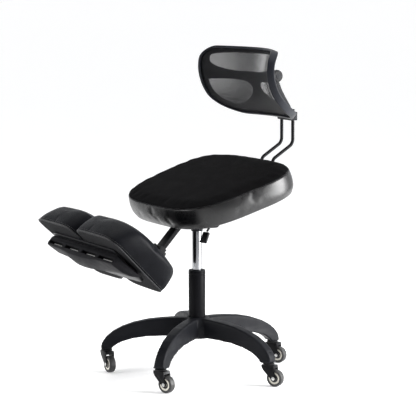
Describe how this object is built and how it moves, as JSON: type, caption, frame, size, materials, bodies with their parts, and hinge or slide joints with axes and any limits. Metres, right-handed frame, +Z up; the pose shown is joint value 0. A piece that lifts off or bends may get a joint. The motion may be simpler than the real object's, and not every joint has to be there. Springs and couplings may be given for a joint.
{
  "type": "kneeling office chair",
  "caption": "Kneeling chair with a forward-sloping seat, twin knee cushions on a slanted post, a small mesh backrest on twin rods, and a gas lift on a castored star base.",
  "frame": {"origin": "on the lift column's axis, at the floor under the castors", "axes": "+Z up, along the lift column; -Y to the front, where the knee cushions are; +X to the side where the height lever is"},
  "size_m": [0.5937, 0.7366, 0.9628],
  "materials": {
    "nylon_black": "moulded black nylon, satin",
    "steel_black": "black powder coat, semi-gloss",
    "chrome": "hard chrome, polished",
    "zinc": "bright zinc plate",
    "wheel_cream": "off-white nylon, satin",
    "tyre_black": "black polyurethane",
    "upholstery_black": "black coated upholstery cloth over foam, semi-gloss",
    "board": "plywood with black under-cloth",
    "insert_pale": "pale translucent plastic",
    "mesh_black": "open black mesh"
  },
  "bodies": {
    "base": {"base_star": "nylon_black", "column_tube": "steel_black", "column_bush": "nylon_black"},
    "lift": {"lift_rod": "chrome"},
    "seat": {"lift_collar": "nylon_black", "mech_box": "steel_black", "seat_plate": "steel_black", "seat_board": "board", "seat_cushion": "upholstery_black", "knee_post": "steel_black", "rod_clamp": "steel_black"},
    "clamp_knob": {"rod_clamp_knob": "nylon_black"},
    "lever": {"lever_rod": "steel_black", "lever_grip": "nylon_black"},
    "knee_rest": {"knee_socket": "nylon_black", "knee_plate": "steel_black", "knee_tray": "nylon_black", "knee_pad_left": "upholstery_black", "knee_pad_right": "upholstery_black", "tray_insert_1": "insert_pale", "tray_insert_2": "insert_pale", "tray_insert_3": "insert_pale", "tray_insert_4": "insert_pale"},
    "knee_knob_front": {"knee_knob_front": "nylon_black"},
    "knee_knob_rear": {"knee_knob_rear": "nylon_black"},
    "back_rods": {"back_rod_left": "steel_black", "back_rod_right": "steel_black"},
    "back_carrier": {"back_carrier": "nylon_black"},
    "backrest": {"back_frame": "nylon_black", "back_mesh": "mesh_black", "back_spine": "nylon_black", "back_pin": "zinc"},
    "tilt_knob": {"back_knob": "nylon_black"},
    "castor_1": {"castor_1_stem": "zinc", "castor_1_fork": "steel_black", "castor_1_axle": "zinc"},
    "wheel_1": {"castor_1_wheel": "wheel_cream", "castor_1_tyre": "tyre_black"},
    "castor_2": {"castor_2_stem": "zinc", "castor_2_fork": "steel_black", "castor_2_axle": "zinc"},
    "wheel_2": {"castor_2_wheel": "wheel_cream", "castor_2_tyre": "tyre_black"},
    "castor_3": {"castor_3_stem": "zinc", "castor_3_fork": "steel_black", "castor_3_axle": "zinc"},
    "wheel_3": {"castor_3_wheel": "wheel_cream", "castor_3_tyre": "tyre_black"},
    "castor_4": {"castor_4_stem": "zinc", "castor_4_fork": "steel_black", "castor_4_axle": "zinc"},
    "wheel_4": {"castor_4_wheel": "wheel_cream", "castor_4_tyre": "tyre_black"},
    "castor_5": {"castor_5_stem": "zinc", "castor_5_fork": "steel_black", "castor_5_axle": "zinc"},
    "wheel_5": {"castor_5_wheel": "wheel_cream", "castor_5_tyre": "tyre_black"}
  },
  "joints": [
    {"name": "lift_travel", "type": "slide", "parent": "base", "child": "lift", "axis": [0, 0, 1], "range_m": [-0.105, 0]},
    {"name": "seat_swivel", "type": "hinge", "parent": "lift", "child": "seat", "pos_m": [0, 0, 0.44], "axis": [0, 0, 1], "continuous": true},
    {"name": "lever_lift", "type": "hinge", "parent": "seat", "child": "lever", "pos_m": [0.047, -0.012, 0.456], "axis": [0, -1, 0], "range_deg": [0, 8], "stiffness_Nm_per_rad": 0.8, "springref_deg": -11.46},
    {"name": "knee_reach", "type": "slide", "parent": "seat", "child": "knee_rest", "axis": [0, -0.682, -0.7314], "range_m": [-0.035, 0.055]},
    {"name": "knee_knob_front_turn", "type": "hinge", "parent": "knee_rest", "child": "knee_knob_front", "pos_m": [0, -0.14115, 0.38899], "axis": [0, -0.7314, 0.682], "continuous": true},
    {"name": "knee_knob_rear_turn", "type": "hinge", "parent": "knee_rest", "child": "knee_knob_rear", "pos_m": [0, -0.1157, 0.36526], "axis": [0, 0.7314, -0.682], "continuous": true},
    {"name": "clamp_knob_turn", "type": "hinge", "parent": "seat", "child": "clamp_knob", "pos_m": [0, 0.18548, 0.50755], "axis": [0, 0.304, -0.9527], "continuous": true},
    {"name": "back_reach", "type": "slide", "parent": "seat", "child": "back_rods", "axis": [0, 0.9527, 0.304], "range_m": [0, 0.05]},
    {"name": "back_height", "type": "slide", "parent": "back_rods", "child": "back_carrier", "axis": [0, 0, 1], "range_m": [-0.05, 0.015]},
    {"name": "back_tilt", "type": "hinge", "parent": "back_carrier", "child": "backrest", "pos_m": [0, 0.258, 0.875], "axis": [1, 0, 0], "range_deg": [-8, 8]},
    {"name": "tilt_knob_turn", "type": "hinge", "parent": "backrest", "child": "tilt_knob", "pos_m": [0.027, 0.258, 0.875], "axis": [1, 0, 0], "continuous": true},
    {"name": "castor_1_swivel", "type": "hinge", "parent": "base", "child": "castor_1", "pos_m": [-0.00944, 0.27044, 0.08], "axis": [0, 0, 1], "continuous": true},
    {"name": "castor_1_roll", "type": "hinge", "parent": "castor_1", "child": "wheel_1", "pos_m": [0.01016, 0.28042, 0.025], "axis": [-0.454, 0.891, 0], "continuous": true},
    {"name": "castor_2_swivel", "type": "hinge", "parent": "base", "child": "castor_2", "pos_m": [0.25428, 0.09255, 0.08], "axis": [0, 0, 1], "continuous": true},
    {"name": "castor_2_roll", "type": "hinge", "parent": "castor_2", "child": "wheel_2", "pos_m": [0.27333, 0.10355, 0.025], "axis": [-0.5, 0.866, 0], "continuous": true},
    {"name": "castor_3_swivel", "type": "hinge", "parent": "base", "child": "castor_3", "pos_m": [0.1666, -0.21324, 0.08], "axis": [0, 0, 1], "continuous": true},
    {"name": "castor_3_roll", "type": "hinge", "parent": "castor_3", "child": "wheel_3", "pos_m": [0.18727, -0.20571, 0.025], "axis": [-0.342, 0.9397, 0], "continuous": true},
    {"name": "castor_4_swivel", "type": "hinge", "parent": "base", "child": "castor_4", "pos_m": [-0.15132, -0.22434, 0.08], "axis": [0, 0, 1], "continuous": true},
    {"name": "castor_4_roll", "type": "hinge", "parent": "castor_4", "child": "wheel_4", "pos_m": [-0.12933, -0.22511, 0.025], "axis": [0.0349, 0.9994, 0], "continuous": true},
    {"name": "castor_5_swivel", "type": "hinge", "parent": "base", "child": "castor_5", "pos_m": [-0.26012, 0.07459, 0.08], "axis": [0, 0, 1], "continuous": true},
    {"name": "castor_5_roll", "type": "hinge", "parent": "castor_5", "child": "wheel_5", "pos_m": [-0.27366, 0.05725, 0.025], "axis": [0.788, -0.6157, 0], "continuous": true}
  ]
}
